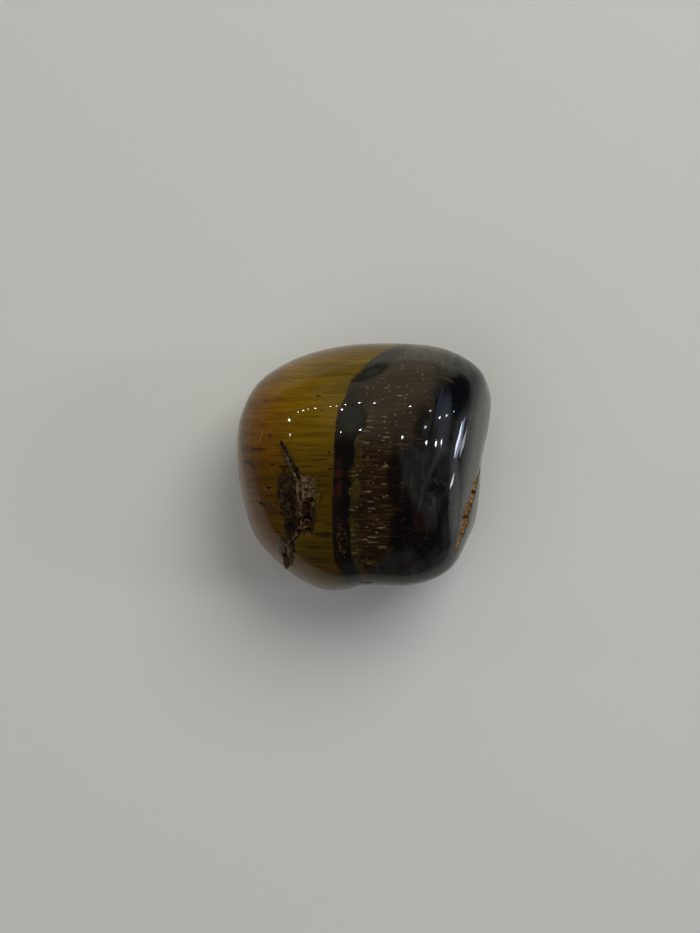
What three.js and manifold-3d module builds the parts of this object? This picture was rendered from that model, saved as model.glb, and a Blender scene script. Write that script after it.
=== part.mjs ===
// A tumbled tiger's eye pebble, as one solid.
// A quarry vein and weeks in a polishing drum leave a rounded stone: its plan bulges on the left,
// a broad flat is worn down its right side under a soft ridge, its near edge has a nick where two
// bands of the vein meet, and the polish never reached the hollows that natural breaks left.
// Millimetres. +Z is up, and +X is right and +Y is away as one looks down on the stone.
import * as THREE from "three";
import { mergeVertices } from "three/addons/utils/BufferGeometryUtils.js";
import Module from "manifold-3d";

// The plan of the stone at its widest level, anticlockwise from the right.
const PLAN = [
  [14.95, 1.0], [16.0, 5.6], [16.1, 9.0], [14.35, 12.05], [10.2, 14.6], [3.9, 15.45],
  [-3.0, 15.2], [-8.9, 13.5], [-13.4, 10.5], [-15.6, 6.2], [-16.0, 1.0], [-15.3, -3.8],
  [-13.85, -8.5], [-11.0, -11.8], [-7.8, -14.2], [-5.0, -15.3], [-2.4, -15.25], [-0.4, -14.6],
  [1.9, -14.4], [5.4, -14.45], [9.0, -13.3], [11.85, -10.75], [14.05, -7.3], [14.75, -3.2],
];
const ROUNDING = 36; // degrees either way that the plan is averaged over, at the top and under
const ROUNDED_FROM = 0.12; // the sine of the slope, up or down, at which that begins
const ROUNDED_BY = 0.75;
const WAIST = 9.6; // height of the widest level above the table
const CROWN = 11.3; // from the widest level up to where the dome would peak with no flats
const BELLY = 9.9; // down to where the underside would reach if it had no flat to rest on
const BLUNT_AZIMUTH = -10; // the bluntest side, in degrees round from +X
const SWELL = 0.22; // how much further out the dome would reach there with no flats
const SWELL_FROM = 0.05; // the sine of the slope up at which the swelling begins
const SWELL_BY = 0.5;
const DOME_FULLNESS = 2.25; // how square the section is: 2 is an ellipse
const BELLY_FULLNESS = 2.15; // opposite the bluntest side
const BLUNT_FULLNESS = 3.3; // of the belly under the bluntest side

// Flats that the drum wore on the stone: which way each one faces, in degrees round from +X and
// above the horizontal, and how far it lies from the middle of the widest level.
const FLATS = [
  { azimuth: -8, elevation: 20, distance: 14.05 }, // broad flat down the right side
  { azimuth: 0, elevation: 58, distance: 13.9 }, // narrow one on the ridge above it
  { azimuth: 8, elevation: 76, distance: 12.0 }, // right half of the top
  { azimuth: 168, elevation: 58, distance: 12.9 }, // shoulder over the golden end
  { azimuth: 95, elevation: -30, distance: 13.6 }, // far side, underneath
  { azimuth: 215, elevation: -38, distance: 13.2 }, // near left, underneath
];
const RIDGE_SHARPNESS = 24; // a higher power leaves a tighter ridge between two flats

// The hollows. Each is broken out chip by chip along a trail of [x, y, half width], as seen from
// above. Chip is the size of one chip and depth how far it bites into the surface. Steps and rows
// say how many chips lie along the trail and across it.
const HOLLOWS = [
  // the long gash in the flat on the right side
  {
    trail: [[14.2, -0.8, 0.05], [13.7, -2.3, 0.3], [13.1, -4.0, 0.35], [12.5, -5.5, 0.5],
      [11.9, -7.6, 0.35], [11.4, -9.2, 0.15], [11.0, -10.3, 0.05]],
    chip: 0.95, depth: 0.55, steps: 13, rows: 3,
  },
  // the crack in the golden band, fine at its far end
  {
    trail: [[-10.4, 3.3, 0.05], [-9.8, 1.8, 0.1], [-9.0, 0.2, 0.1], [-8.1, -1.4, 0.2]],
    chip: 0.42, depth: 0.24, steps: 11, rows: 1,
  },
  // the broken patch on its right
  {
    trail: [[-7.6, -1.0, 0.2], [-6.6, -2.4, 0.8], [-6.4, -4.2, 0.9], [-6.6, -6.1, 0.7],
      [-6.8, -7.5, 0.5]],
    chip: 0.75, depth: 0.4, steps: 8, rows: 3,
  },
  // its lower end, down to the near left edge
  {
    trail: [[-7.8, -7.5, 0.05], [-8.7, -8.6, 0.1], [-9.3, -10.1, 0.5], [-9.7, -11.7, 0.2]],
    chip: 0.6, depth: 0.3, steps: 8, rows: 2,
  },
  // the rough foot of the dark seam
  {
    trail: [[-2.9, -7.2, 0.4], [-2.9, -9.1, 0.4]],
    chip: 0.4, depth: 0.16, steps: 5, rows: 2,
  },
  // the chip out of the near edge, beside the nick
  { trail: [[-0.1, -13.6, 0.1], [0.9, -13.7, 0.1]], chip: 0.8, depth: 0.3, steps: 2, rows: 1 },
  // loose pits beside the crack
  { trail: [[-11.5, 3.8, 0.1]], chip: 0.4, depth: 0.25, steps: 1, rows: 1 },
  { trail: [[-11.7, -2.5, 0.1]], chip: 0.4, depth: 0.25, steps: 1, rows: 1 },
  { trail: [[-12.8, -4.3, 0.1], [-12.0, -4.6, 0.1]], chip: 0.4, depth: 0.25, steps: 2, rows: 1 },
];
const CHIP_STRETCH = 0.35; // how much longer or shorter than its size a chip may be
const BITE_SPREAD = 0.2; // how much deeper or shallower one may bite
const WANDER = 0.15; // how far one may stray off its row, as a share of the half width
const SEED = 11;

const CELLS = 22; // squares along each edge of the cube that is rounded into the stone
const PLAN_SAMPLES = 1440;
const HALVINGS = 40; // enough to find a height on the surface to far under a micron
const WELD = 1e-4; // corners closer than this are one

const radians = THREE.MathUtils.degToRad;
const lerp = THREE.MathUtils.lerp;
const smoothstep = THREE.MathUtils.smoothstep;

// Always the same numbers from -1 to 1, so that the stone always breaks the same way.
let seed = SEED;
function chance() {
  seed = (seed * 1664525 + 1013904223) % 2 ** 32;
  return seed / 2 ** 31 - 1;
}

// The plan's radius at every whole degree of azimuth, as drawn and averaged over its neighbours.
const planPoints = new THREE.CatmullRomCurve3(
  PLAN.map(([x, y]) => new THREE.Vector3(x, y, 0)),
  true,
  "centripetal",
)
  .getPoints(PLAN_SAMPLES)
  .map((p) => ({ azimuth: Math.atan2(p.y, p.x), radius: p.length() }))
  .sort((a, b) => a.azimuth - b.azimuth);
const planTrack = new THREE.LinearInterpolant(
  planPoints.map((p) => p.azimuth),
  planPoints.map((p) => p.radius),
  1,
);
const drawnPlan = [];
for (let degree = 0; degree < 360; degree++)
  drawnPlan.push(planTrack.evaluate(radians(degree - 180))[0]);
const roundedPlan = drawnPlan.map((_, degree) => {
  let sum = 0;
  for (let away = -ROUNDING; away <= ROUNDING; away++)
    sum += drawnPlan[(degree + away + 360) % 360];
  return sum / (2 * ROUNDING + 1);
});

// A plan's radius towards an azimuth in radians.
function radiusOf(plan, azimuth) {
  const degree = azimuth / radians(1) + 180;
  const below = Math.floor(degree);
  return lerp(plan[below % 360], plan[(below + 1) % 360], degree - below);
}

const flats = FLATS.map(({ azimuth, elevation, distance }) => ({
  normal: new THREE.Vector3(
    Math.cos(radians(elevation)) * Math.cos(radians(azimuth)),
    Math.cos(radians(elevation)) * Math.sin(radians(azimuth)),
    Math.sin(radians(elevation)),
  ),
  distance,
}));

// How far out a point is, measured from the middle of the widest level: 1 is on the polished
// surface, less is inside. It grows evenly along any line from the middle.
function reach(point) {
  const azimuth = Math.atan2(point.y, point.x);
  const slope = point.z / point.length();
  const rounded = smoothstep(Math.abs(slope), ROUNDED_FROM, ROUNDED_BY);
  const blunt = 0.5 + 0.5 * Math.cos(azimuth - radians(BLUNT_AZIMUTH));
  const swell = 1 + SWELL * blunt ** 2 * smoothstep(slope, SWELL_FROM, SWELL_BY);
  const plan = lerp(radiusOf(drawnPlan, azimuth), radiusOf(roundedPlan, azimuth), rounded);
  const across = Math.hypot(point.x, point.y) / (plan * swell);
  const above = point.z > 0;
  const upright = above ? point.z / CROWN : -point.z / BELLY;
  const fullness = above ? DOME_FULLNESS : lerp(BELLY_FULLNESS, BLUNT_FULLNESS, blunt);
  const round = (across ** fullness + upright ** fullness) ** (1 / fullness);
  let sum = round ** RIDGE_SHARPNESS;
  for (const { normal, distance } of flats)
    sum += Math.max(0, normal.dot(point) / distance) ** RIDGE_SHARPNESS;
  return sum ** (1 / RIDGE_SHARPNESS);
}

// The point of the polished surface above a place in the plan, and the way it faces there.
function surfaceAbove(x, y) {
  let low = 0;
  let high = CROWN;
  for (let i = 0; i < HALVINGS; i++) {
    const middle = (low + high) / 2;
    if (reach(new THREE.Vector3(x, y, middle)) < 1) low = middle;
    else high = middle;
  }
  const point = new THREE.Vector3(x, y, low);
  const step = 0.01;
  const slope = (dx, dy, dz) =>
    reach(new THREE.Vector3(x + dx, y + dy, low + dz)) -
    reach(new THREE.Vector3(x - dx, y - dy, low - dz));
  const normal = new THREE.Vector3(slope(step, 0, 0), slope(0, step, 0), slope(0, 0, step));
  return { point, normal: normal.normalize() };
}

// The polished body: a cube of small squares, each corner moved out to the worn surface.
function wornBody() {
  const cube = new THREE.BoxGeometry(2, 2, 2, CELLS, CELLS, CELLS);
  cube.deleteAttribute("normal");
  cube.deleteAttribute("uv");
  const corners = cube.getAttribute("position");
  const corner = new THREE.Vector3();
  // Tangents spread the squares evenly, where a plain cube would crowd them at its edges.
  const spread = (t) => Math.tan((t * Math.PI) / 4);
  for (let i = 0; i < corners.count; i++) {
    corner.fromBufferAttribute(corners, i);
    corner.set(spread(corner.x), spread(corner.y), spread(corner.z));
    corner.divideScalar(reach(corner));
    // The stone rests on the flat that this leaves underneath.
    corners.setXYZ(i, corner.x, corner.y, Math.max(-WAIST, corner.z));
  }
  return mergeVertices(cube, WELD);
}

// One angular chip, biting into the surface at a place in the plan.
function chipAt(x, y, size, depth) {
  const { point, normal } = surfaceAbove(x, y);
  const stretch = () => size * (1 + CHIP_STRETCH * chance());
  const chip = new THREE.IcosahedronGeometry(1, 0);
  chip.deleteAttribute("normal");
  chip.deleteAttribute("uv");
  const turn = new THREE.Euler(...[0, 0, 0].map(() => chance() * Math.PI));
  chip.applyMatrix4(new THREE.Matrix4().makeRotationFromEuler(turn));
  const height = stretch();
  chip.scale(stretch(), stretch(), height);
  const upright = new THREE.Vector3(0, 0, 1);
  chip.applyQuaternion(new THREE.Quaternion().setFromUnitVectors(upright, normal));
  const middle = point.addScaledVector(normal, height - depth);
  chip.translate(middle.x, middle.y, middle.z);
  return mergeVertices(chip, WELD);
}

// The chips of one hollow, laid along its trail in rows.
function chipsAlong({ trail, chip, depth, steps, rows }) {
  const chips = [];
  for (let step = 0; step < steps; step++) {
    const along = ((step + 0.5) / steps) * (trail.length - 1);
    const before = trail[Math.floor(along)];
    const after = trail[Math.ceil(along)];
    const share = along - Math.floor(along);
    const [x, y, halfWidth] = before.map((value, i) => lerp(value, after[i], share));
    const heading = new THREE.Vector2(after[0] - before[0], after[1] - before[1]).normalize();
    for (let row = 0; row < rows; row++) {
      const aside = halfWidth * ((2 * row + 1) / rows - 1 + WANDER * chance());
      const bite = depth * (1 + BITE_SPREAD * chance());
      chips.push(chipAt(x - heading.y * aside, y + heading.x * aside, chip, bite));
    }
  }
  return chips;
}

const manifold = await Module();
manifold.setup();

function solidOf(geometry) {
  return new manifold.Manifold(
    new manifold.Mesh({
      numProp: 3,
      vertProperties: new Float32Array(geometry.getAttribute("position").array),
      triVerts: new Uint32Array(geometry.index.array),
    }),
  );
}

let solid = solidOf(wornBody());
for (const chip of HOLLOWS.flatMap(chipsAlong)) solid = solid.subtract(solidOf(chip));

const cut = solid.getMesh();
const geometry = new THREE.BufferGeometry();
geometry.setAttribute("position", new THREE.BufferAttribute(cut.vertProperties, 3));
geometry.setIndex(new THREE.BufferAttribute(cut.triVerts, 1));

// The origin is under the middle of the stone, on the table.
geometry.computeBoundingBox();
const middle = geometry.boundingBox.getCenter(new THREE.Vector3());
geometry.translate(-middle.x, -middle.y, -geometry.boundingBox.min.z);
geometry.computeVertexNormals();

const stone = new THREE.Mesh(
  geometry,
  new THREE.MeshStandardMaterial({ color: 0x5a4418, roughness: 0.15, metalness: 0 }),
);
stone.name = "stone";

const group = new THREE.Group();
group.add(stone);
export default group;
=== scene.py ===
import math

import bpy
import numpy as np
from mathutils import Matrix, Vector, noise


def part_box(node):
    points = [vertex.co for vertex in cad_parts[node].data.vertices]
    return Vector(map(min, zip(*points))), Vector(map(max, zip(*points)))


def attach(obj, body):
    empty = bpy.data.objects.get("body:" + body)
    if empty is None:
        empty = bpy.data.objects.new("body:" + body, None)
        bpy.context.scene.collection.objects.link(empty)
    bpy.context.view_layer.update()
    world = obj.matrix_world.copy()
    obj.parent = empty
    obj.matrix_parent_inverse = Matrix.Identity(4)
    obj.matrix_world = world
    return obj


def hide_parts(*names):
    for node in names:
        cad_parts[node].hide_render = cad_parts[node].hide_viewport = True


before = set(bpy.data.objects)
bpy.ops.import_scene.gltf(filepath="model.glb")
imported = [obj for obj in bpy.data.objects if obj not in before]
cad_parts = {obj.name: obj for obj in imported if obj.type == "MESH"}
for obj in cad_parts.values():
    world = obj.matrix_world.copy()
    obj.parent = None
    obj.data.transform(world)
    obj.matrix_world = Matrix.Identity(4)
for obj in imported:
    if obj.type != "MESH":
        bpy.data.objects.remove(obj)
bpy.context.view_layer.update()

# The stone: one pebble of banded tiger's eye, quartz that grew in place of blue fibres of
# crocidolite, gold where their iron has rusted. It was broken from its vein and tumbled in a
# drum, which wore flats on it and polished all of it but the hollows of its natural breaks.
MM = 0.001  # lengths are in millimetres up to where the mesh is made

# Its plan at the widest level, anticlockwise from the right.
PLAN = np.array([
    [14.95, 1.0], [16.0, 5.6], [16.1, 9.0], [14.35, 12.05], [10.2, 14.6], [3.9, 15.45],
    [-3.0, 15.2], [-8.9, 13.5], [-13.4, 10.5], [-15.6, 6.2], [-16.0, 1.0], [-15.3, -3.8],
    [-13.85, -8.5], [-11.0, -11.8], [-7.8, -14.2], [-5.0, -15.3], [-2.4, -15.25], [-0.4, -14.6],
    [1.9, -14.4], [5.4, -14.45], [9.0, -13.3], [11.85, -10.75], [14.05, -7.3], [14.75, -3.2],
])
PLAN_STEPS = 60  # points of the smooth plan between two that are drawn
ROUNDING = 36  # degrees either way that the plan is averaged over, at the top and underneath
ROUNDED_FROM, ROUNDED_BY = 0.12, 0.75  # the sines of the slope between which it sets in
WAIST = 9.6  # height of the widest level above the table
CROWN = 11.3  # from there up to where the dome would peak with no flats
BELLY = 9.9  # and down to where the underside would reach
BLUNT_AZIMUTH = -10  # the bluntest side
SWELL = 0.22  # how much further out the dome would reach there with no flats
SWELL_FROM, SWELL_BY = 0.05, 0.5  # the sines of the slope between which it sets in
# How full the section is, where 2 is an ellipse: the dome, the belly, and it at the bluntest side.
DOME_FULLNESS, BELLY_FULLNESS, BLUNT_FULLNESS = 2.25, 2.15, 3.3

# The flats that the drum wore on it: azimuth, elevation and distance from its middle.
FLATS = [(-8, 20, 14.05), (0, 58, 13.9), (8, 76, 12.0), (168, 58, 12.9), (95, -30, 13.6),
         (215, -38, 13.2)]
RIDGE_SHARPNESS = 24  # of the edges between them and the dome


def eased(value, start, end):
    share = np.clip((value - start) / (end - start), 0, 1)
    return share * share * (3 - 2 * share)


def smooth_plan():
    """Points of a closed curve through the drawn plan, tight where the drawn ones are close."""
    found = []
    share = np.linspace(0, 1, PLAN_STEPS, endpoint=False)[:, None]
    for a, b, c, d in zip(np.roll(PLAN, 1, 0), PLAN, np.roll(PLAN, -1, 0), np.roll(PLAN, -2, 0)):
        ab, bc, cd = (math.sqrt(math.dist(*pair)) for pair in ((a, b), (b, c), (c, d)))
        leave = bc * ((b - a) / ab - (c - a) / (ab + bc) + (c - b) / bc)
        arrive = bc * ((c - b) / bc - (d - b) / (bc + cd) + (d - c) / cd)
        found.append(b + leave * share + (3 * (c - b) - 2 * leave - arrive) * share ** 2
                     + (2 * (b - c) + leave + arrive) * share ** 3)
    return np.concatenate(found)


outline = smooth_plan()
outline_azimuth = np.arctan2(outline[:, 1], outline[:, 0])
degrees = np.radians(np.arange(360) - 180)
drawn_radius = np.interp(degrees, outline_azimuth, np.hypot(*outline.T), period=math.tau)
average = np.ones(2 * ROUNDING + 1) / (2 * ROUNDING + 1)
rounded_radius = np.convolve(
    np.concatenate([drawn_radius[-ROUNDING:], drawn_radius, drawn_radius[:ROUNDING]]),
    average, "valid")


def reach(points):
    """How far out points are, from the middle of the widest level: 1 is the polished surface."""
    x, y, z = points.T
    azimuth = np.arctan2(y, x)
    slope = z / np.linalg.norm(points, axis=1)
    rounded = eased(np.abs(slope), ROUNDED_FROM, ROUNDED_BY)
    blunt = 0.5 + 0.5 * np.cos(azimuth - math.radians(BLUNT_AZIMUTH))
    radius = ((1 - rounded) * np.interp(azimuth, degrees, drawn_radius, period=math.tau)
              + rounded * np.interp(azimuth, degrees, rounded_radius, period=math.tau))
    radius *= 1 + SWELL * blunt ** 2 * eased(slope, SWELL_FROM, SWELL_BY)
    upright = np.where(z > 0, z / CROWN, -z / BELLY)
    fullness = np.where(z > 0, DOME_FULLNESS,
                        BELLY_FULLNESS + (BLUNT_FULLNESS - BELLY_FULLNESS) * blunt)
    total = ((np.hypot(x, y) / radius) ** fullness + upright ** fullness) ** (
        RIDGE_SHARPNESS / fullness)
    for azimuth, elevation, distance in FLATS:
        across = math.cos(math.radians(elevation))
        facing = Vector((across * math.cos(math.radians(azimuth)),
                         across * math.sin(math.radians(azimuth)),
                         math.sin(math.radians(elevation))))
        total += np.maximum(0, points @ facing / distance) ** RIDGE_SHARPNESS
    return total ** (1 / RIDGE_SHARPNESS)


def worn(cube_points):
    """The corners of the cube of small squares, spread evenly and moved out to the surface."""
    spread = np.tan(cube_points * math.pi / 4)
    points = spread / reach(spread)[:, None]
    points[:, 2] = np.maximum(-WAIST, points[:, 2])  # the flat that the stone rests on
    return points


# The hollows, as lines of (x, y, half width) seen from above, with how deep they go, how light
# their crystals are and how rusty: the long gash in the steep flat is full of ochre.
HOLLOWS = [
    ("gash", [(14.4, -0.3, 0.05), (13.7, -2.1, 0.32), (13.1, -4.0, 0.36), (12.45, -5.5, 0.5),
              (12.2, -6.8, 0.45), (11.75, -8.0, 0.35), (11.25, -9.4, 0.2), (10.95, -10.4, 0.05)],
     0.75, 0.6, 1.0),
    ("crack", [(-10.2, 3.1, 0.12), (-9.8, 2.3, 0.3), (-9.5, 1.6, 0.3), (-9.1, 0.7, 0.3),
               (-8.7, 0.0, 0.36), (-8.3, -0.8, 0.4), (-8.0, -1.4, 0.42)], 0.06, 0.36, 0.0),
    ("pink crystals", [(-7.6, -0.9, 0.33), (-7.0, -1.8, 0.76), (-6.7, -2.8, 0.95),
                       (-6.7, -4.0, 1.0)], 0.2, 0.54, 0.15),
    ("brown pit", [(-7.0, -4.6, 0.71), (-7.0, -5.7, 0.76), (-7.0, -6.8, 0.76),
                   (-6.8, -7.7, 0.47)], 0.45, 0.25, 0.35),
    ("middle", [(-8.0, -1.7, 0.33), (-7.9, -2.8, 0.47), (-7.9, -4.2, 0.43), (-7.9, -5.7, 0.33),
                (-7.9, -7.1, 0.28)], 0.18, 0.4, 0.1),
    ("lower crack", [(-8.0, -7.5, 0.32), (-8.4, -8.2, 0.34), (-8.9, -8.8, 0.42),
                     (-9.1, -9.6, 0.68), (-9.3, -10.6, 0.85), (-9.5, -11.7, 0.6),
                     (-9.8, -12.5, 0.2)], 0.22, 0.5, 0.05),
    ("seam foot", [(-2.9, -7.0, 0.4), (-2.9, -8.2, 0.75), (-2.7, -9.6, 0.6), (-2.4, -10.6, 0.3)],
     0.1, 0.28, 0.05),
    ("nick chip", [(-0.6, -13.95, 0.1), (0.7, -14.0, 0.14)], 0.14, 0.8, 0.0),
    ("ring pit", [(-11.5, 3.8, 0.26), (-11.45, 3.8, 0.26)], 0.08, 0.5, 0.1),
    ("round pit", [(-11.7, -2.5, 0.2), (-11.6, -2.5, 0.2)], 0.2, 0.1, 0.3),
    ("long pit", [(-12.8, -4.3, 0.1), (-12.0, -4.6, 0.15)], 0.12, 0.35, 0.0),
]
# Ridges and clefts inside them, as lines of (x, y). The ridges are chalky and pale, with a painted
# highlight where they catch the light, and the clefts are darkened with painted shade.
RIDGES = [
    [(-9.5, 1.5), (-9.2, 0.7), (-9.2, 0.2), (-8.8, -0.3), (-8.5, -0.9), (-8.2, -1.3),
     (-8.2, -1.9), (-8.2, -2.9), (-8.1, -4.0)],
    [(-8.2, -1.9), (-7.8, -2.0), (-7.5, -3.3), (-7.4, -4.0), (-7.8, -4.7), (-7.8, -5.5),
     (-7.8, -6.3), (-7.9, -7.3), (-8.5, -7.6), (-8.4, -8.3), (-9.0, -8.8), (-9.6, -9.4),
     (-9.4, -10.1), (-9.5, -10.9)],
    [(-7.9, -7.3), (-7.1, -7.2), (-6.4, -7.2)],
    [(-7.5, -8.1), (-6.8, -8.1), (-6.0, -8.0)],
    [(-7.1, -0.7), (-6.3, -1.1), (-5.6, -1.8), (-5.6, -2.9), (-5.4, -3.4)],
]
CLEFTS = [
    [(-5.3, -3.4), (-5.4, -3.9), (-5.5, -4.2)],
    [(-6.1, -4.6), (-6.2, -5.1), (-6.2, -5.8)],
    [(-7.8, -7.8), (-8.0, -8.2), (-8.4, -8.6), (-8.7, -8.9)],
    [(-6.4, -7.3), (-6.3, -7.7)],
    [(-7.8, -7.5), (-6.9, -7.5)],
    [(-10.1, 2.9), (-10.0, 2.8)], [(-9.85, 2.35), (-9.75, 2.25)], [(-9.0, 0.9), (-8.9, 0.8)],
]
LINE_WIDTH = 0.1  # half width of both


def nearness(points, line, half_width=None):
    """0 on a line seen from above, 1 at its edge."""
    nearest = np.full(len(points), np.inf)
    for start, end in zip(line, line[1:]):
        a, b = np.array(start[:2]), np.array(end[:2])
        share = np.clip((points[:, :2] - a) @ (b - a) / ((b - a) @ (b - a)), 0, 1)
        away = np.linalg.norm(points[:, :2] - a - share[:, None] * (b - a), axis=1)
        half = half_width or start[2] + share * (end[2] - start[2])
        nearest = np.minimum(nearest, away / half)
    return nearest


def in_hollows(points):
    """The least nearness to any hollow of the upper half."""
    nearest = np.min([nearness(points, line) for _, line, _, _, _ in HOLLOWS], axis=0)
    return np.where(points[:, 2] > 0, nearest, np.inf)


CELLS = 78  # squares along each edge of the cube
FINE_CUTS = 5  # cuts through each square that a hollow touches
HOLLOW_MARGIN = 0.35  # of fine squares round a hollow
SLOPE_STEP = 0.01  # either way, to find which way the surface faces

bpy.ops.object.select_all(action="DESELECT")
bpy.ops.mesh.primitive_cube_add(size=2)
stone = bpy.context.object
stone.name = "polished_stone"
mesh = stone.data
bpy.ops.object.mode_set(mode="EDIT")
bpy.context.tool_settings.mesh_select_mode = (False, False, True)
bpy.ops.mesh.subdivide(number_cuts=CELLS - 1)
bpy.ops.mesh.select_all(action="DESELECT")
bpy.ops.object.mode_set(mode="OBJECT")


def corners():
    flat = np.empty(len(mesh.vertices) * 3)
    mesh.vertices.foreach_get("co", flat)
    return flat.reshape(-1, 3)


middles = np.empty(len(mesh.polygons) * 3)
mesh.polygons.foreach_get("center", middles)
middles = worn(middles.reshape(-1, 3))
widened = np.min([nearness(middles, [(x, y, half + HOLLOW_MARGIN) for x, y, half in line])
                  for _, line, _, _, _ in HOLLOWS], axis=0)
mesh.polygons.foreach_set("select", (widened < 1) & (middles[:, 2] > 0))
bpy.ops.object.mode_set(mode="EDIT")
bpy.ops.mesh.subdivide(number_cuts=FINE_CUTS, ngon=False)
bpy.ops.mesh.select_all(action="SELECT")
bpy.ops.mesh.normals_make_consistent(inside=False)
bpy.ops.object.mode_set(mode="OBJECT")

surface = worn(corners())
normals = np.stack([reach(surface + step) - reach(surface - step)
                    for step in np.eye(3) * SLOPE_STEP], axis=1)
normals /= np.linalg.norm(normals, axis=1)[:, None]

# Crystals stand in the hollows, each with its own tilt and tone, with gaps and holes between, which
# are darkened with painted shade.
HOLLOW_REACH = 1.6  # nearness up to which a ragged edge can stray
RAGGED = 0.55  # how far the edge strays, as a share of the half width
RAGGED_WAVES, RAGGED_TEETH = 2.2, 5.0  # per mm
GRAIN = 0.27  # size of one crystal
TILT_SEED, TONE_SEED = 7.31, 3.17
GAP = 0.14  # between crystals, as a share of their size
HOLE_SPACING = 0.75
HOLE_SHIFT = Vector((3.1, 7.7, 1.3))  # so that the holes don't follow the ragged edge
HOLE_FROM, HOLE_FULL = 0.2, 0.42
BROKEN_INSIDE, BROKEN_EDGE, DEEP_INSIDE = 0.75, 1.1, 0.15  # nearness to the middle line
# Lighter on ridges (their chalk and a painted highlight), darker in clefts, gaps and holes (painted
# shade).
TONE_LIGHT, RIDGE_CHALK_AND_HIGHLIGHT, CLEFT_PAINTED_SHADE, GAP_PAINTED_SHADE, HOLE_PAINTED_SHADE = 0.4, 0.3, 0.5, 0.2, 0.3
FACET_DEEP, RIDGE_HIGH, CLEFT_DEEP, GAP_DEEP, HOLE_DEEP = 0.25, 0.07, 0.12, 0.02, 0.1
RIDGE_BROKEN, CLEFT_BROKEN = 0.6, 0.8  # how little polish is left on them
LEAST_DEPTH = 0.02

depth, broken, light, rust = np.zeros((4, len(surface)))
inside = np.flatnonzero(in_hollows(surface) < HOLLOW_REACH)
near = surface[inside]
stray = np.array([noise.noise(Vector(p) * RAGGED_WAVES)
                  + 0.5 * noise.noise(Vector(p) * RAGGED_TEETH) for p in near])
facet, tone, gap, hole = np.zeros((4, len(near)))
for i, point in enumerate(near):
    distances, seeds = noise.voronoi(Vector(point) / GRAIN)
    tilt = noise.cell_vector(seeds[0] * TILT_SEED) * 2 - Vector((1, 1, 1))
    facet[i] = (Vector(point) / GRAIN - seeds[0]).dot(tilt) * GRAIN
    tone[i] = noise.cell_vector(seeds[0] * TONE_SEED)[0] - 0.5
    gap[i] = distances[1] - distances[0]
    hole[i] = noise.noise(Vector(point) / HOLE_SPACING + HOLE_SHIFT)
gap = 1 - eased(gap, 0.0, GAP)
hole = eased(hole, HOLE_FROM, HOLE_FULL)
for _, line, deep, lightness, rusty in HOLLOWS:
    close = nearness(near, line) * (1 + RAGGED * stray)
    mask = 1 - eased(close, BROKEN_INSIDE, BROKEN_EDGE)
    depth[inside] = np.maximum(depth[inside], deep * (1 - eased(close, DEEP_INSIDE, BROKEN_EDGE)))
    share = mask / np.maximum(1e-6, mask + broken[inside])
    light[inside] = share * lightness + (1 - share) * light[inside]
    rust[inside] = share * rusty + (1 - share) * rust[inside]
    broken[inside] = np.maximum(broken[inside], mask)
ridge = np.max([1 - eased(nearness(near, line, LINE_WIDTH), 0.3, 1.3) for line in RIDGES], axis=0)
cleft = np.max([1 - eased(nearness(near, line, LINE_WIDTH), 0.4, 1.4) for line in CLEFTS], axis=0)
# Painted shade in clefts, gaps and holes; chalk and a painted highlight on ridges.
light[inside] += (TONE_LIGHT * tone + RIDGE_CHALK_AND_HIGHLIGHT * ridge - CLEFT_PAINTED_SHADE * cleft - GAP_PAINTED_SHADE * gap
                  - HOLE_PAINTED_SHADE * hole)
depth[inside] += broken[inside] * (FACET_DEEP * facet + CLEFT_DEEP * cleft - RIDGE_HIGH * ridge
                                   + GAP_DEEP * gap + HOLE_DEEP * hole)
broken[inside] = np.maximum(broken[inside], np.maximum(ridge * RIDGE_BROKEN, cleft * CLEFT_BROKEN))
depth = np.maximum(depth, LEAST_DEPTH * broken)

RIPPLE, RIPPLE_LENGTH = 0.006, 2.6  # the drum leaves the polish very slightly uneven
ripple = RIPPLE * np.array([noise.noise(Vector(p) / RIPPLE_LENGTH) for p in surface])
shaped = surface + normals * (ripple - depth)[:, None]
shaped[:, 2] = np.where(surface[:, 2] <= -WAIST, -WAIST, shaped[:, 2])
low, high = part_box("stone")
shift = (Vector(low) + Vector(high)) / 2 / MM - Vector((surface.min(0) + surface.max(0)) / 2)
shift.z = WAIST
mesh.vertices.foreach_set("co", ((shaped + np.array(shift)) * MM).ravel())
for name, values in (("broken", broken), ("light", light), ("rust", rust)):
    mesh.attributes.new(name, "FLOAT", "POINT").data.foreach_set("value", values)
mesh.update()
bpy.ops.object.shade_smooth()

# Tiger's eye, tumble polished: silky quartz with rust in the gold fibres and none in the steel
# ones, clear and glassy on top. Under the gloss the fibres give a broad metallic sheen. Where it
# is broken there is no polish, only small dull crystals.
finish = bpy.data.materials.new("tiger_eye_tumble_polished")
finish.use_nodes = True
tree = finish.node_tree
tree.nodes.clear()


def colour(code):
    """An sRGB hex colour as the linear one that a node takes."""
    parts = [int(code[i:i + 2], 16) / 255 for i in (1, 3, 5)]
    return [c / 12.92 if c <= 0.04045 else ((c + 0.055) / 1.055) ** 2.4 for c in parts] + [1]


def add(kind, sockets=(), **settings):
    """A node with its settings, and its sockets set or linked, by name or in their order."""
    node = tree.nodes.new("ShaderNode" + kind)
    for name, value in settings.items():
        setattr(node, name, value)
    usable = [s for s in node.inputs if s.enabled]
    if isinstance(sockets, dict):
        sockets = [(next(s for s in usable if s.name == n), v) for n, v in sockets.items()]
    else:
        sockets = zip(usable, sockets)
    for socket, value in sockets:
        if isinstance(value, bpy.types.Node):
            value = next(s for s in value.outputs if s.enabled)
        if isinstance(value, bpy.types.NodeSocket):
            tree.links.new(value, socket)
        elif isinstance(value, str):
            socket.default_value = colour(value)
        else:
            socket.default_value = value
    return node


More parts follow.
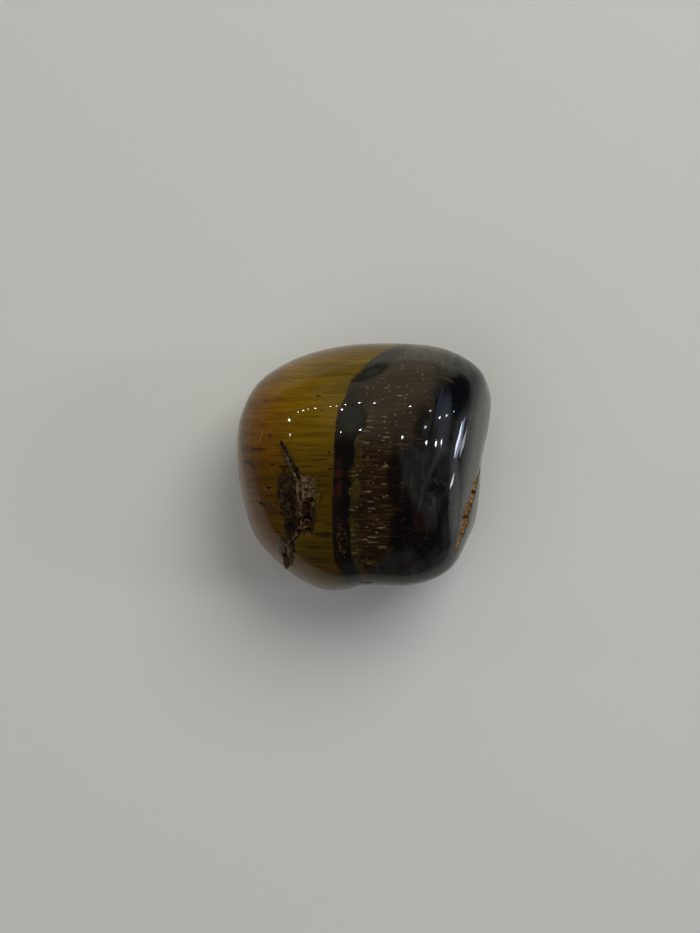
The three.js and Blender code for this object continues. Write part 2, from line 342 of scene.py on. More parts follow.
# Places on the stone in millimetres, from the middle of its widest level.
place = add("Mapping", {"Vector": add("TexCoord").outputs["Object"], "Scale": [1 / MM] * 3,
                        "Location": -shift})
y, z = add("SeparateXYZ", [place]).outputs[1:]
# Natural edges stray a little from where they are drawn.
STRAY_WAVES = 1.6  # per mm
STRAY = (0.5, 0.35, 0.5)  # how far
stray_noise = add("TexNoise", {"Vector": place, "Scale": STRAY_WAVES, "Detail": 4.0,
                               "Roughness": 0.65})
stray_map = add("VectorMath", [stray_noise.outputs["Color"], (0.5, 0.5, 0.5)],
                operation="SUBTRACT")
jitter = add("VectorMath", [stray_map, STRAY], operation="MULTIPLY")
jittered = add("VectorMath", [place, jitter], operation="ADD")
jittered_axis = add("SeparateXYZ", [jittered])

# The layers of the vein cross the stone from front to back. Their boundaries are drawn through
# points of (minus y, x), from the near edge to the far one.
BOUNDARIES = {
    "seam left": [(15.15, -1.9), (12.97, -2.76), (11.47, -3.62), (9.5, -3.88), (-0.95, -3.8),
                  (-5.29, -3.53), (-7.0, -3.2), (-8.34, -2.45), (-9.89, -1.97),
                  (-10.67, -1.02), (-12.05, -0.16), (-12.85, 0.52), (-13.67, 1.66),
                  (-14.3, 2.84), (-14.9, 3.64)],
    "seam right": [(14.15, -0.44), (11.45, -1.42), (9.0, -1.8), (7.4, -1.8), (5.6, -2.25),
                   (4.6, -1.95), (3.5, -1.7), (2.8, -2.1), (2.2, -1.65), (1.5, -2.0),
                   (0.4, -2.05), (-0.3, -1.5), (-1.5, -1.27), (-3.21, -1.33), (-4.34, -0.39),
                   (-6.23, 0.08), (-7.57, -0.48), (-8.82, -1.05), (-9.78, -0.09),
                   (-10.46, 1.43), (-11.44, 2.3), (-12.44, 2.98), (-14.9, 5.3)],
    "steel": [(14.15, 0.43), (12.04, 1.35), (10.07, 2.95), (9.02, 5.79), (7.39, 6.63),
              (5.19, 5.95), (3.01, 4.61), (1.22, 4.23), (-0.95, 3.47), (-2.27, 4.14),
              (-3.22, 7.09), (-5.69, 7.48), (-9.52, 8.1), (-14.9, 9.43)],
}
SPAN = 16.0  # they are drawn from -16 to 16
SOFT = {"seam left": 0.07, "seam right": 0.14, "steel": 0.8}  # half the width of the change
DIP = 0.12  # under the widest level the layers lean a little
dipped = add("Math", [add("Math", [z, 0.0], operation="MINIMUM"), DIP, jittered_axis.outputs[0]],
             operation="MULTIPLY_ADD")
along = add("MapRange", [y, SPAN, -SPAN, 0.0, 1.0])
beyond, past = {}, {}
for name, points in BOUNDARIES.items():
    curve = add("FloatCurve", {"Value": along})
    track = curve.mapping.curves[0]
    stops = sorted(((SPAN + v) / (2 * SPAN), (SPAN + u) / (2 * SPAN)) for v, u in points)
    track.points[0].location = (0, stops[0][1])
    track.points[1].location = (1, stops[-1][1])
    for stop in stops:
        track.points.new(*stop)
    curve.mapping.update()
    edge = add("Math", [curve, 2 * SPAN, -SPAN], operation="MULTIPLY_ADD")
    beyond[name] = add("Math", [dipped, edge], operation="SUBTRACT")
    past[name] = add("MapRange", [beyond[name], -SOFT[name], SOFT[name], 0.0, 1.0],
                     interpolation_type="SMOOTHSTEP")


def ramp(share, *stops):
    """A colour for each share, from pairs of share and colour."""
    node = add("ValToRGB", [share])
    steps = node.color_ramp.elements
    steps.remove(steps[0])
    steps[0].position, steps[0].color = stops[0][0], colour(stops[0][1])
    for position, code in stops[1:]:
        steps.new(position).color = colour(code)
    return node


# Fibres run straight across the layers, about 9 mm long and 0.15 mm thick. They lie in thin
# sheets that stand upright, and low on the sides they show from the edge. Scales are per mm.
TOP_FIBRES, SIDE_FIBRES = (0.11, 6.5, 0.7), (0.11, 0.7, 4.5)
SIDE_FROM, SIDE_FULL, SIDE_MOST = 7.5, 2.0, 0.9  # heights over the widest level, and a share
STREAKS, CLOUDS, SMOKE = (0.14, 1.7, 0.3), 0.35, (0.5, 0.22, 0.3)
fibre_place = add("Mapping", {"Vector": place, "Scale": TOP_FIBRES})
top_fibres = add("TexNoise", {"Vector": fibre_place, "Scale": 1.0, "Detail": 3.0,
                              "Roughness": 0.6})
side_place = add("Mapping", {"Vector": place, "Scale": SIDE_FIBRES})
side_fibres = add("TexNoise", {"Vector": side_place, "Scale": 1.0, "Detail": 3.0,
                               "Roughness": 0.6})
side_share = add("MapRange", [z, SIDE_FROM, SIDE_FULL, 0.0, SIDE_MOST],
                 interpolation_type="SMOOTHSTEP")
fibres = add("Mix", [add("Math", [side_share, 0.5], operation="MULTIPLY"), top_fibres,
                     side_fibres])
streak_place = add("Mapping", {"Vector": place, "Scale": STREAKS})
streaks = add("TexNoise", {"Vector": streak_place, "Scale": 1.0, "Detail": 5.0,
                           "Roughness": 0.65})
cloud = add("TexNoise", {"Vector": place, "Scale": CLOUDS, "Detail": 4.0, "Roughness": 0.6})
smoke_place = add("Mapping", {"Vector": jittered, "Scale": SMOKE})
smoke = add("TexNoise", {"Vector": smoke_place, "Scale": 1.0, "Detail": 7.0, "Roughness": 0.68,
                         "Distortion": 0.6})

# Gold: rustier at the end, and tan low on the sides, where the fibres are cut nearly end on. It is
# darker towards the edge with the nick and brighter towards the far one: painted shade and painted
# sheen of the silk, as if lit from behind the stone. Low on the sides the painted sheen and shade
# fade out.
GOLD_END, GOLD_RUSTY, GOLD, GOLD_AT_SEAM = "#754a12", "#86580a", "#846406", "#6c5406"
GOLD_SIDE = "#765418"
GOLD_FROM, GOLD_TO = -16.0, -3.0  # x
PAINTED_SHADE_LEAST, PAINTED_SHEEN_MOST, DIM_AT, BRIGHT_AT = 0.46, 1.04, -2.5, 7.5  # shares, and y
gold_ramp = ramp(add("MapRange", [jittered_axis.outputs[0], GOLD_FROM, GOLD_TO, 0.0, 1.0]),
                 (0.0, GOLD_END), (0.3, GOLD_RUSTY), (0.6, GOLD), (1.0, GOLD_AT_SEAM))
fibre_shade = add("MapRange", [fibres, 0.3, 0.7, 0.74, 1.26])
streak_shade = add("MapRange", [streaks, 0.34, 0.6, 0.66, 1.1])
# Painted shade towards the edge with the nick, painted sheen towards the far edge.
painted_sheen_and_shade = add("MapRange", [y, DIM_AT, BRIGHT_AT, PAINTED_SHADE_LEAST, PAINTED_SHEEN_MOST],
                 interpolation_type="SMOOTHSTEP")
gold_shade = add("Math", [fibre_shade, streak_shade], operation="MULTIPLY")
side_painted_sheen_and_shade = add("Mix", [side_share, painted_sheen_and_shade, 1.0])
gold_shade = add("Math", [gold_shade, side_painted_sheen_and_shade], operation="MULTIPLY")
gold_tone = add("Mix", [side_share, gold_ramp, GOLD_SIDE], data_type="RGBA")
gold = add("VectorMath", {"Vector": gold_tone, "Scale": gold_shade}, operation="SCALE")

# The seam: nearly black iron, red-brown along the gold.
SEAM_BLACK, SEAM_BROWN, SEAM_RED = "#040302", "#100704", "#2c1007"
SEAM_BLOTS = 1.2  # per mm
RED_WIDTH = 1.9
seam_noise = add("TexNoise", {"Vector": place, "Scale": SEAM_BLOTS, "Detail": 5.0,
                              "Roughness": 0.7})
reddening = add("MapRange", [beyond["seam left"], 0.0, RED_WIDTH, 0.62, 0.38])
seam = ramp(add("Math", [add("Math", [seam_noise, reddening], operation="ADD"), 0.5],
                operation="SUBTRACT"),
            (0.42, SEAM_BLACK), (0.55, SEAM_BROWN), (0.76, SEAM_RED))

# The striped layer: fine ridges of olive and brown fibre, with pale specks that are painted glints
# of tiny pits.
STRIPE_DARK, STRIPE_BROWN, STRIPE, STRIPE_PALE = "#1a0f07", "#22150a", "#38270e", "#5c4522"
OLIVE, SPECK_GLINT = "#40370f", "#877757"
STRIPES = (0.42, 4.2, 0.5)  # per mm
OLIVE_FROM, OLIVE_TO = 0.2, 1.5  # beyond the seam
ridge_place = add("Mapping", {"Vector": place, "Scale": STRIPES})
ridge_noise = add("TexNoise", {"Vector": ridge_place, "Scale": 1.0, "Detail": 4.0,
                               "Roughness": 0.72, "Distortion": 0.2})
stripes = ramp(ridge_noise, (0.37, STRIPE_DARK), (0.49, STRIPE_BROWN), (0.6, STRIPE),
               (0.72, STRIPE_PALE))
olive_share = add("MapRange", [beyond["seam right"], OLIVE_FROM, OLIVE_TO, 1.0, 0.0],
                  interpolation_type="SMOOTHSTEP")
olive_patch = add("MapRange", [seam_noise, 0.42, 0.62, 0.1, 0.75])
striated = add("Mix", [add("Math", [olive_share, olive_patch], operation="MULTIPLY"), stripes,
                       OLIVE], data_type="RGBA")
# Over them the stone turns grey from the middle on, most of all near the far edge: partly cloudy
# quartz, partly a painted reflection of the bright studio behind the stone. Each grey has the y
# where it sets in and where it is full, and how much it then hides.
CLOUD_AND_REFLECTION, EDGE_CLOUD_AND_REFLECTION, SEAM_CLOUD_AND_REFLECTION = "#38332a", "#605d51", "#45423a"
CLOUD_REFLECTION_FROM, CLOUD_REFLECTION_FULL, CLOUD_REFLECTION_MOST = 1.2, 4.6, 0.55
EDGE_FROM, EDGE_FULL, EDGE_MOST = 10.5, 15.0, 0.75
SEAM_FROM, SEAM_FULL, SEAM_LEAST, SEAM_MOST = 3.0, 15.0, 0.05, 0.75
cloud_and_reflection_share = add("MapRange", [jittered_axis.outputs[1], CLOUD_REFLECTION_FROM, CLOUD_REFLECTION_FULL, 0.0,
                                CLOUD_REFLECTION_MOST], interpolation_type="SMOOTHSTEP")
striated = add("Mix", [cloud_and_reflection_share, striated, CLOUD_AND_REFLECTION], data_type="RGBA")
edge_cloud_and_reflection_share = add("MapRange", [jittered_axis.outputs[1], EDGE_FROM, EDGE_FULL, 0.0, EDGE_MOST],
                 interpolation_type="SMOOTHSTEP")
edge_cloud_and_reflection_share = add("Math", [edge_cloud_and_reflection_share, add("MapRange", [smoke, 0.4, 0.62, 0.55, 1.1])],
                 operation="MULTIPLY")
striated = add("Mix", [edge_cloud_and_reflection_share, striated, EDGE_CLOUD_AND_REFLECTION], data_type="RGBA")
# The seam too turns grey towards the far edge: partly cloudy quartz, partly painted reflection.
seam_cloud_and_reflection = add("MapRange", [jittered_axis.outputs[1], SEAM_FROM, SEAM_FULL, SEAM_LEAST,
                               SEAM_MOST])
seam = add("Mix", [seam_cloud_and_reflection, seam, SEAM_CLOUD_AND_REFLECTION], data_type="RGBA")
# The specks, painted glints of tiny pits: how many cells per mm, their radius in a cell, and the
# share of cells with one. They come in swarms, and thin out from this height down to the widest
# level.
SPECKS = [((0.9, 1.5, 0.5), 0.2, 0.4), ((0.5, 2.8, 0.5), 0.33, 0.35), ((1.5, 2.6, 0.8), 0.24, 0.55)]
SPECK_CORE = 0.35  # how much of it is bright
SPECK_HEIGHT = 5.0
speck_where = add("Math", [add("MapRange", [cloud, 0.36, 0.6, 0.2, 0.8]),
                           add("MapRange", [z, 0.0, SPECK_HEIGHT, 0.2, 1.0])],
                  operation="MULTIPLY")
for scale, radius, common in SPECKS:
    speck_place = add("Mapping", {"Vector": jittered, "Scale": scale})
    cell = add("TexVoronoi", {"Vector": speck_place, "Scale": 1.0})
    dot = add("MapRange", [cell.outputs["Distance"], radius, radius * SPECK_CORE, 0.0, 1.0],
              interpolation_type="SMOOTHSTEP")
    chosen = add("Math", [add("SeparateColor", [cell.outputs["Color"]]), common],
                 operation="LESS_THAN")
    share = add("Math", [dot, chosen], operation="MULTIPLY")
    share = add("Math", [share, speck_where], operation="MULTIPLY")
    striated = add("Mix", [share, striated, SPECK_GLINT], data_type="RGBA")

# Steel: fibre that hasn't rusted, in smoky clouds.
STEEL_BLACK, STEEL, STEEL_SMOKE, STEEL_PALE = "#08080a", "#1e1d1a", "#262522", "#3a3a37"
steel = ramp(smoke, (0.36, STEEL_BLACK), (0.46, STEEL), (0.56, STEEL_SMOKE), (0.68, STEEL_PALE))
# Near the far edge the steel turns pale grey too: partly cloudy quartz, partly painted reflection.
steel = add("Mix", [edge_cloud_and_reflection_share, steel, EDGE_CLOUD_AND_REFLECTION], data_type="RGBA")

base = add("Mix", [past["seam left"], gold, seam], data_type="RGBA")
base = add("Mix", [past["seam right"], base, striated], data_type="RGBA")
base = add("Mix", [past["steel"], base, steel], data_type="RGBA")

# The stain beside the break, where iron has crept in: dark brown, with olive and maroon in it.
# It is a few ellipses, each with its middle and half lengths, with cloudy edges.
STAIN = [((-9.5, -3.0), (1.15, 2.9)), ((-8.9, -6.2), (0.95, 1.6)), ((-8.3, -3.6), (0.9, 3.2)),
         ((-9.7, -9.8), (0.75, 1.5)), ((-6.9, -5.6), (1.0, 2.3))]
STAIN_DARK, STAIN_MAROON, STAIN_BROWN, STAIN_OLIVE = "#0d0604", "#221208", "#33261a", "#51452f"
STAIN_BLOTS = 2.0  # per mm
STAIN_RAGGED, STAIN_EDGE, STAIN_INSIDE, STAIN_MOST = 1.6, 1.95, 1.6, 0.93
MARK_JITTER = 0.45  # how far the edges of marks stray
SPECKLE = 2.4  # per mm, uneven colour in the marks
FLAT = 1e4  # marks go straight down through the upper half
mark_place = add("VectorMath", [add("VectorMath", {"Vector": stray_map, "Scale": MARK_JITTER},
                                    operation="SCALE"), place], operation="ADD")
speckle = add("MapRange", [add("TexNoise", {"Vector": place, "Scale": SPECKLE, "Detail": 5.0,
                                            "Roughness": 0.75}), 0.36, 0.54, 0.55, 1.0])
marked = base
stain_noise = add("TexNoise", {"Vector": place, "Scale": STAIN_BLOTS, "Detail": 6.0,
                               "Roughness": 0.72})
stain = ramp(stain_noise, (0.36, STAIN_DARK), (0.46, STAIN_MAROON), (0.54, STAIN_BROWN),
             (0.64, STAIN_OLIVE))
for (u, v), halves in STAIN:
    local = add("Mapping", {"Vector": mark_place, "Location": (u, v, 0),
                            "Scale": (*halves, FLAT)}, vector_type="TEXTURE")
    away = add("VectorMath", [local], operation="LENGTH").outputs["Value"]
    away = add("Math", [stain_noise, STAIN_RAGGED, away], operation="MULTIPLY_ADD")
    share = add("MapRange", [away, STAIN_EDGE, STAIN_INSIDE, 0.0, STAIN_MOST],
                interpolation_type="SMOOTHSTEP")
    marked = add("Mix", [share, marked, stain], data_type="RGBA")

# Single patches, streaks and spots: middle, half length, half width, turn in degrees, colour and
# strength.
MARKS = [
    # patches in the stain
    ((-9.3, -5.9), 0.4, 0.3, 0, "#4a3c14", 0.5),
    ((-8.9, -6.8), 0.5, 0.35, 0, "#140808", 0.9),
    ((-10.1, -8.9), 0.6, 0.3, 0, "#40301f", 0.6),
    ((-9.9, -0.8), 1.0, 0.5, 0, "#3a2a10", 0.6),
    ((-10.1, -5.5), 0.3, 0.3, 0, "#1c120c", 0.8),
    ((-9.2, 0.9), 2.5, 0.62, -64, "#2c250e", 0.7),
    ((-9.9, -1.5), 1.0, 0.8, 0, "#2b2714", 0.35),
    ((-9.2, -3.5), 0.6, 0.8, 0, "#240c07", 0.8),
    ((-9.0, -7.6), 0.8, 1.2, 0, "#0d0603", 0.85),
    # brown streaks and dark flecks in the gold
    ((-8.2, 0.8), 0.55, 0.11, 0, "#2c1806", 0.8),
    ((-5.0, -8.0), 1.1, 0.3, 0, "#1e1004", 0.85),
    ((-5.0, -2.1), 1.0, 0.22, 4, "#2a1a08", 0.7),
    ((-6.2, -9.6), 1.2, 0.12, -4, "#2a1a08", 0.8),
    ((-5.2, -12.1), 1.2, 0.14, -6, "#2a1a08", 0.7),
    ((-4.6, -6.8), 0.7, 0.1, 0, "#2a1a08", 0.8),
    ((-10.6, -7.9), 0.9, 0.12, -10, "#33200e", 0.8),
    ((-7.0, 2.6), 1.3, 0.08, 0, "#4a3008", 0.7),
    ((-10.8, 1.4), 1.0, 0.1, 0, "#3a2208", 0.7),
    ((-5.4, 0.9), 1.1, 0.1, 7, "#33200a", 0.8),
    ((-6.8, 0.1), 0.9, 0.1, 0, "#3a250c", 0.7),
    ((-4.9, -1.0), 1.0, 0.13, 0, "#33200a", 0.8),
    ((-9.8, 0.05), 0.85, 0.16, -8, "#200d06", 1.0),
    ((-11.2, 0.3), 0.35, 0.14, 0, "#200d06", 0.9),
    ((-5.4, -5.7), 0.5, 0.1, 0, "#33200a", 0.7),
    ((-6.0, -11.1), 1.4, 0.2, -8, "#2c1a08", 0.8),
    ((-13.0, 2.2), 1.1, 0.16, 0, "#241004", 0.9),
    ((-4.3, 1.8), 0.2, 0.16, 0, "#180c06", 0.9),
    ((-4.1, -0.2), 0.35, 0.13, 0, "#180c06", 0.9),
    ((-5.6, 8.5), 0.35, 0.1, 0, "#1c1206", 0.9),
    ((-12.3, 8.1), 0.35, 0.08, 0, "#2c1606", 0.7),
    ((-5.3, 6.8), 0.2, 0.1, 0, "#2c1606", 0.7),
    ((-14.2, 0.6), 0.7, 0.26, -15, "#1c1612", 0.9),
    ((-13.7, 0.1), 0.55, 0.22, -35, "#1c1612", 0.85),
    ((-11.3, -5.2), 0.9, 0.35, -10, "#33261a", 0.6),
    ((-11.7, -4.7), 1.2, 0.16, -17, "#40342a", 0.8),
    ((-12.7, 3.8), 0.85, 0.05, 73, "#a08456", 0.8),
    # the lens in the far end of the seam, and the cloudy eye below it
    ((0.6, 11.35), 2.5, 0.75, 24, "#0a0504", 1.0),
    ((-0.9, 10.5), 1.0, 0.3, 18, "#100704", 1.0),
    ((0.75, 11.4), 0.9, 0.36, 18, "#23241c", 0.9),
    ((-0.9, 8.3), 1.6, 1.2, 20, "#1e1a14", 0.6),
    ((-1.5, 5.8), 1.8, 2.0, 0, "#110c0b", 0.7),
    ((-1.7, 5.8), 1.3, 1.6, 0, "#23241f", 0.9),
    ((-1.9, 4.6), 0.8, 0.7, 0, "#2c271f", 0.6),
    ((-2.9, 3.0), 0.7, 0.4, 0, "#240a08", 0.8),
    ((-3.0, -0.7), 0.7, 0.5, 0, "#35170c", 0.7),
    # blots in the seam
    ((-2.6, 2.2), 1.2, 1.3, 0, "#0b0505", 0.85),
    ((-2.2, -0.8), 0.7, 1.5, 0, "#0a0404", 0.8),
    ((-2.3, -4.9), 0.6, 1.5, 0, "#0b0505", 0.8),
    ((-3.2, -2.6), 0.35, 0.9, 0, "#40180a", 0.6),
    ((-1.8, -12.8), 1.2, 1.5, 0, "#1c1e20", 0.8),
    ((-1.1, -2.5), 0.55, 1.1, 0, "#3d3310", 0.7),
    # the dark end of the striped layer
    ((4.8, -7.2), 2.2, 3.4, 0, "#040202", 1.0),
    ((3.4, -1.0), 1.0, 3.2, 0, "#080403", 0.9),
    ((4.3, -3.9), 1.3, 1.5, 0, "#0c0504", 0.9),
    ((7.0, -9.2), 1.3, 2.2, -20, "#060405", 0.95),
    ((6.3, -6.4), 0.7, 1.5, 15, "#1e0d0d", 0.85),
    ((5.8, -8.6), 0.7, 1.2, 0, "#14070a", 0.8),
    ((3.7, -9.2), 1.2, 1.0, 0, "#050604", 0.9),
    ((3.6, -5.0), 0.8, 0.3, 0, "#2a1208", 0.6),
    ((4.2, -10.9), 2.0, 0.6, 18, "#202226", 0.7),
    ((5.4, -11.4), 0.9, 0.12, 14, "#30130f", 0.7),
    ((2.4, -11.5), 1.0, 0.5, 0, "#2a2024", 0.5),
    # black and smoky parts of the steel
    ((6.9, 4.2), 1.3, 3.2, 0, "#0c0c0a", 0.85),
    ((11.0, 8.6), 1.7, 2.9, -15, "#010206", 1.0),
    ((11.2, 9.2), 1.2, 1.8, -15, "#010206", 1.0),
    ((9.6, -0.2), 0.9, 2.4, -8, "#07080d", 0.6),
    ((9.4, 5.2), 0.75, 3.8, -8, "#3e4048", 0.65),
    ((10.9, 2.8), 0.6, 3.8, -12, "#393c44", 0.65),
    # a pale grey band along the edge of the steep flat: painted reflection of the pale table
    ((10.6, -3.8), 5.0, 0.65, 88, "#595a59", 0.65),
    ((9.7, -11.1), 2.6, 1.0, 42, "#3c3e3f", 0.6),
    ((8.4, -2.5), 1.2, 0.9, 0, "#050507", 0.9),
    ((9.2, -5.5), 0.5, 2.4, -12, "#0a0b10", 0.8),
    # pale veils in it
    ((8.2, 0.6), 2.6, 0.34, 66, "#3a3a38", 0.5),
    ((6.6, -3.6), 2.0, 0.24, 78, "#34332f", 0.6),
    ((9.3, -1.9), 0.9, 0.1, -30, "#38383a", 0.5),
    ((7.9, -3.0), 0.7, 0.08, 20, "#36363a", 0.5),
    ((8.4, -1.7), 0.6, 0.08, -50, "#3c3c40", 0.7),
    ((8.8, 7.2), 2.4, 0.3, 78, "#2b3040", 0.8),
    ((7.9, 6.6), 2.0, 0.25, 80, "#2e2620", 0.7),
    ((7.2, 4.6), 1.2, 0.4, 76, "#2a2d34", 0.6),
    ((9.9, 10.5), 0.9, 0.12, -28, "#4a3416", 0.7),
    ((8.5, 10.9), 1.2, 0.12, -8, "#45391c", 0.6),
    # bright streaks at the near end of the striped layer: painted glints of fibres that catch the
    # light
    ((1.8, -7.2), 0.5, 0.07, 0, "#9c8a66", 0.6),
    ((0.8, -8.3), 0.6, 0.07, 0, "#9c8a66", 0.6),
    ((-0.1, -8.6), 0.5, 0.07, 0, "#9c8a66", 0.6),
    ((0.8, -8.9), 0.7, 0.07, 4, "#9c8a66", 0.6),
    ((2.0, -9.5), 0.5, 0.07, 0, "#9c8a66", 0.6),
]
FADE = 1.25  # how far out a mark fades away, as a share of its size
for (u, v), half_length, half_width, turn, code, strength in MARKS:
    spot = add("TexGradient", {"Vector": mark_place}, gradient_type="SPHERICAL")
    spot.texture_mapping.vector_type = "TEXTURE"
    spot.texture_mapping.translation = (u, v, 0)
    spot.texture_mapping.rotation = (0, 0, math.radians(turn))
    spot.texture_mapping.scale = (half_length * FADE, half_width * FADE, FLAT)
    share = add("MapRange", [spot.outputs["Fac"], 0.0, 0.5, 0.0, strength],
                interpolation_type="SMOOTHSTEP")
    marked = add("Mix", [add("Math", [share, speckle], operation="MULTIPLY"), marked, code],
                 data_type="RGBA")
MARKS_END = -2.0  # how far below the widest level the marks go on
upper = add("MapRange", [z, MARKS_END, 0.0, 0.0, 1.0])
polished = add("Mix", [upper, base, marked], data_type="RGBA")

# The crystals of the hollows, from deep holes to pale faces: the darkest colours carry the painted
# shade of holes, gaps and clefts.
light_of = add("Attribute", attribute_name="light").outputs["Fac"]
rust_of = add("Attribute", attribute_name="rust").outputs["Fac"]
broken_of = add("Attribute", attribute_name="broken").outputs["Fac"]
GREY_CRYSTALS = [(0.0, "#120b07"), (0.25, "#2c2016"), (0.5, "#4a3c2c"), (0.75, "#6e5d48"),
                 (1.0, "#968873")]
OCHRE_CRYSTALS = [(0.0, "#1a0d05"), (0.25, "#4a2c12"), (0.5, "#7c5c33"), (0.75, "#a48453"),
                  (1.0, "#d4bb8a")]
crystal = add("Mix", [rust_of, ramp(light_of, *GREY_CRYSTALS), ramp(light_of, *OCHRE_CRYSTALS)],
              data_type="RGBA")
painted = add("Mix", [broken_of, polished, crystal], data_type="RGBA")

# Only the golden silk has a metallic sheen under the polish. The polish is a clear layer with the
# refractive index of quartz, and the fibres under it are soft and give no gloss of their own.
POLISH, POLISH_ROUGHNESS, QUARTZ_IOR = 0.74, 0.03, 1.54
SHEEN = 0.25
FIBRE_ROUGHNESS, BROKEN_ROUGHNESS, FIBRE_GLOSS = 0.42, 0.6, 0.05
FIBRE_BUMP, FIBRE_HEIGHT = 0.25, 0.02
whole = add("Math", [1.0, broken_of], operation="SUBTRACT")
gloss = add("Math", [whole, POLISH], operation="MULTIPLY")
silk = add("Math", [add("Math", [1.0, past["seam left"]], operation="SUBTRACT"), whole],
           operation="MULTIPLY")
fibre_bump = add("Bump", {"Strength": FIBRE_BUMP, "Distance": FIBRE_HEIGHT * MM,
                          "Height": fibres})
shader = add("BsdfPrincipled", {
    "Base Color": painted,
    "Metallic": add("Math", [silk, SHEEN], operation="MULTIPLY"),
    "Roughness": add("MapRange", [broken_of, 0.0, 1.0, FIBRE_ROUGHNESS, BROKEN_ROUGHNESS]),
    "Normal": fibre_bump,
    "Coat Weight": gloss, "Coat Roughness": POLISH_ROUGHNESS, "Coat IOR": QUARTZ_IOR,
    "Specular IOR Level": FIBRE_GLOSS,
})
add("OutputMaterial", {"Surface": shader})
mesh.materials.append(finish)
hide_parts("stone")
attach(stone, "root")

# The table top: a plain pale board, large enough to fill every view. It is painted matt, so it
# mirrors nothing clearly and takes soft shadows.
TABLE_SIZE = 4  # metres
BOARD_PAINT = "#dedfda"
bpy.ops.mesh.primitive_plane_add(size=TABLE_SIZE)
table = bpy.context.object
table.name = "table_top"
board = bpy.data.materials.new("painted_board_matt")
board.use_nodes = True
tree = board.node_tree
tree.nodes.clear()
add("OutputMaterial", {"Surface": add("BsdfPrincipled", {
    "Base Color": BOARD_PAINT, "Roughness": 0.55, "Specular IOR Level": 0.3})})
table.data.materials.append(board)

# The studio round the stone, which its polish mirrors: dim overhead, a wide soft glow high behind
# the stone, and pale walls low down all round, brighter behind it than in front.
ROOM, LOW_WALLS, GLOW = (0.032, 0.032, 0.036), (0.68, 0.62, 0.52), (0.27, 0.25, 0.17)
WALLS_FROM, WALLS_FULL = 0.30, 0.06  # heights of their soft upper edge, 1 is straight up
WALLS_IN_FRONT = 0.05  # how bright they are in front, as a share
TOWARD_BACK, FRONT_ENDS = (0.1, 0.99, 0), -0.35  # the way to the brightest, and where they rise
GLOW_AZIMUTH, GLOW_ELEVATION = 93, 44
GLOW_REACH, GLOW_CORE = 38, 20  # degrees from its middle
room = bpy.data.worlds.new("studio")
room.use_nodes = True
tree = room.node_tree
tree.nodes.clear()
toward = add("TexCoord").outputs["Generated"]
rise, turn = math.radians(GLOW_ELEVATION), math.radians(GLOW_AZIMUTH)
glow_middle = (math.cos(rise) * math.cos(turn), math.cos(rise) * math.sin(turn), math.sin(rise))
near_glow = add("VectorMath", [toward, glow_middle], operation="DOT_PRODUCT").outputs["Value"]
glow = add("MapRange", [near_glow, math.cos(math.radians(GLOW_REACH)),
                        math.cos(math.radians(GLOW_CORE)), 0.0, 1.0],
           interpolation_type="SMOOTHSTEP")
toward_axis = add("SeparateXYZ", [toward])
walls = add("MapRange", [toward_axis.outputs[2], WALLS_FROM, WALLS_FULL, 0.0, 1.0],
            interpolation_type="SMOOTHSTEP")
toward_back = add("VectorMath", [toward, TOWARD_BACK], operation="DOT_PRODUCT")
behind = add("MapRange", [toward_back.outputs["Value"], FRONT_ENDS, 1.0, WALLS_IN_FRONT, 1.0])
walls = add("Math", [walls, behind], operation="MULTIPLY")
glow_light = add("VectorMath", {"Vector": GLOW, "Scale": glow}, operation="SCALE")
walls_light = add("VectorMath", {"Vector": LOW_WALLS, "Scale": walls}, operation="SCALE")
studio_light = add("VectorMath", [glow_light, walls_light], operation="ADD")
studio_light = add("VectorMath", [studio_light, ROOM], operation="ADD")
add("OutputWorld", {"Surface": add("Background", {"Color": studio_light, "Strength": 1.0})})
bpy.context.scene.world = room


def lamp(name, place, size, share, tint=(1, 1, 1), mirrored=True):
    """A flat light facing the stone. Its share is of the light that makes a white table white."""
    data = bpy.data.lights.new(name, "AREA")
    data.shape = "DISK" if size[0] == size[1] else "RECTANGLE"
    data.size, data.size_y = size
    place = Vector(place)
    data.energy = share * math.pi ** 2 * place.length_squared / place.normalized().z
    data.color = tint
    light = bpy.data.objects.new(name, data)
    light.location = place
    light.rotation_euler = place.to_track_quat("Z", "Y").to_euler()
    light.visible_camera = False
    light.visible_glossy = mirrored
    bpy.context.collection.objects.link(light)
    return light


# The main softbox lights the table and the stone from behind on the right, and a wide one over
# the front left fills its shadow. The polish mirrors neither, so the deep colours stay deep.
lamp("main_softbox", (0.27, 0.37, 0.52), (0.5, 0.5), 0.37, (0.98, 0.98, 0.96), mirrored=False)
lamp("fill_softbox", (-0.4, -0.25, 0.9), (1.2, 1.2), 0.21, (0.98, 0.98, 1.0), mirrored=False)

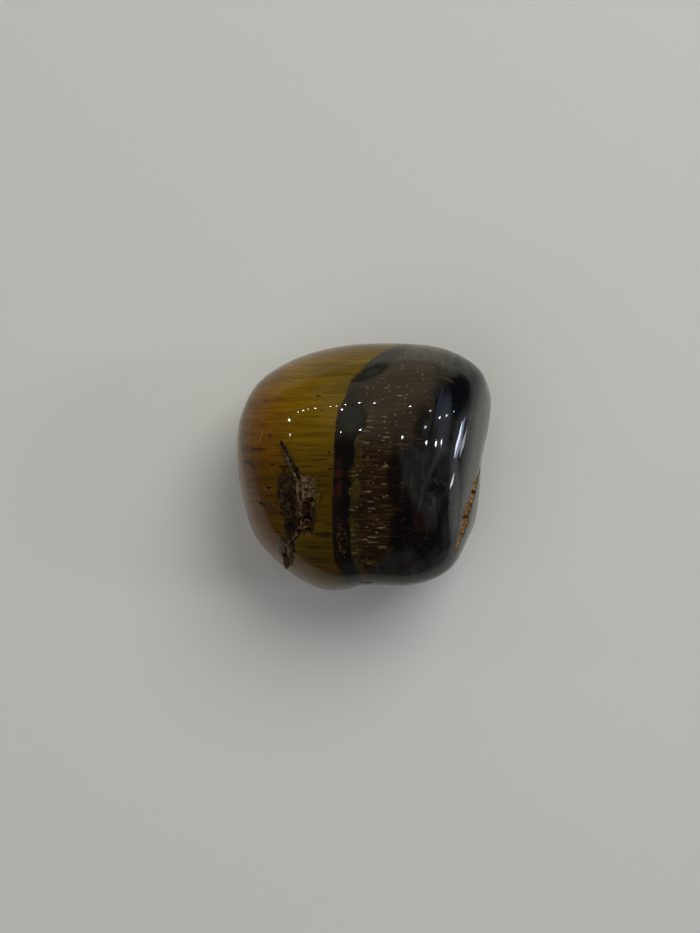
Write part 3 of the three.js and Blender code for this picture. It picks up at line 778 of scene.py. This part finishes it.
# A window low on the right, blue sky beside a pale curtain with a piece of its frame, and a
# narrow window further on. Each strip of light runs between two points of the wall, as (y, z),
# and has its width, its radiance and its tint.
WALL = 1.3  # x of the wall, in metres
STRIPS = [("window_sky", (0.030, 0.40), (0.037, 0.71), 0.105, 8.0, (0.45, 0.68, 1.0)),
          ("window_curtain", (0.074, 0.58), (0.020, 0.82), 0.050, 24.0, (1.0, 0.90, 0.97)),
          ("window_frame", (-0.034, 0.03), (-0.030, 0.34), 0.045, 7.0, (0.95, 0.90, 1.0)),
          ("window_narrow", (-0.088, 0.62), (-0.120, 0.84), 0.034, 17.0, (1.0, 0.93, 0.96))]
for name, foot, head, width, radiance, tint in STRIPS:
    foot, head = Vector((WALL, *foot)), Vector((WALL, *head))
    length, middle = (head - foot).length, (foot + head) / 2
    long_way = (head - foot).normalized()
    short_way = middle.normalized().cross(long_way).normalized()
    light_strip = lamp(name, middle, (length, width), 0, tint)
    light_strip.rotation_euler = Matrix((long_way, short_way, long_way.cross(short_way))
                                        ).transposed().to_euler()
    light_strip.data.energy = radiance * math.pi * width * length

# Small ceiling lamps a metre up: x, y and strength. The one at the window is blue.
LAMP_SIZE = 0.013  # for each metre from the stone, so that they all look as wide
LAMP_SHARE = 0.0022
BLUE_LAMP, BLUE_SIZE, BLUE = (1.05, 0.29), 1.5 * LAMP_SIZE, (0.1, 0.4, 1.0)
LAMPS = [(-1.85, 0.69, 1.6), (-1.76, 0.51, 0.2), (-1.50, 0.78, 0.3), (-1.29, 0.79, 1.0),
         (-1.08, 0.78, 0.4), (-0.85, 0.77, 1.0), (-0.46, 0.73, 1.2), (-0.35, 0.72, 0.4),
         (-0.26, 0.63, 3.0), (-0.24, 0.71, 0.9), (-0.12, 0.68, 1.1), (0.0, 0.61, 1.0),
         (0.38, 0.42, 1.0), (0.59, 0.32, 0.4), (0.72, 0.25, 1.1), (0.84, 0.26, 0.8),
         (-0.22, 0.31, 1.0), (-0.03, 0.29, 1.1), (0.36, 0.15, 1.1), (0.56, 0.20, 0.3),
         (0.59, 0.12, 0.9), (0.71, 0.11, 1.1), (0.80, 0.11, 0.8)]
for i, (u, v, strength) in enumerate(LAMPS):
    size = LAMP_SIZE * math.hypot(u, v, 1.0)
    lamp(f"lamp_{i}", (u, v, 1.0), (size, size), LAMP_SHARE * strength)
lamp("lamp_blue", (*BLUE_LAMP, 1.0), (BLUE_SIZE, BLUE_SIZE), LAMP_SHARE, BLUE)

# The camera: straight over the stone.
VIEW_HEIGHT = 0.1172  # what the long side of the picture takes in at the widest level
CAMERA_HEIGHT = 0.190  # above the widest level
CAMERA_X, CAMERA_Y = -1.87, 0.09  # in millimetres, a little off the stone's middle
SENSOR = 36  # millimetres wide
NEAREST = 0.01  # closer than this it sees nothing
data = bpy.data.cameras.new("camera")
data.sensor_width = SENSOR
data.lens = SENSOR * CAMERA_HEIGHT / VIEW_HEIGHT
data.clip_start = NEAREST
camera = bpy.data.objects.new("camera", data)
camera.location = (CAMERA_X * MM, CAMERA_Y * MM, WAIST * MM + CAMERA_HEIGHT)
bpy.context.collection.objects.link(camera)
bpy.context.scene.camera = camera
bpy.context.scene.view_settings.view_transform = "Standard"
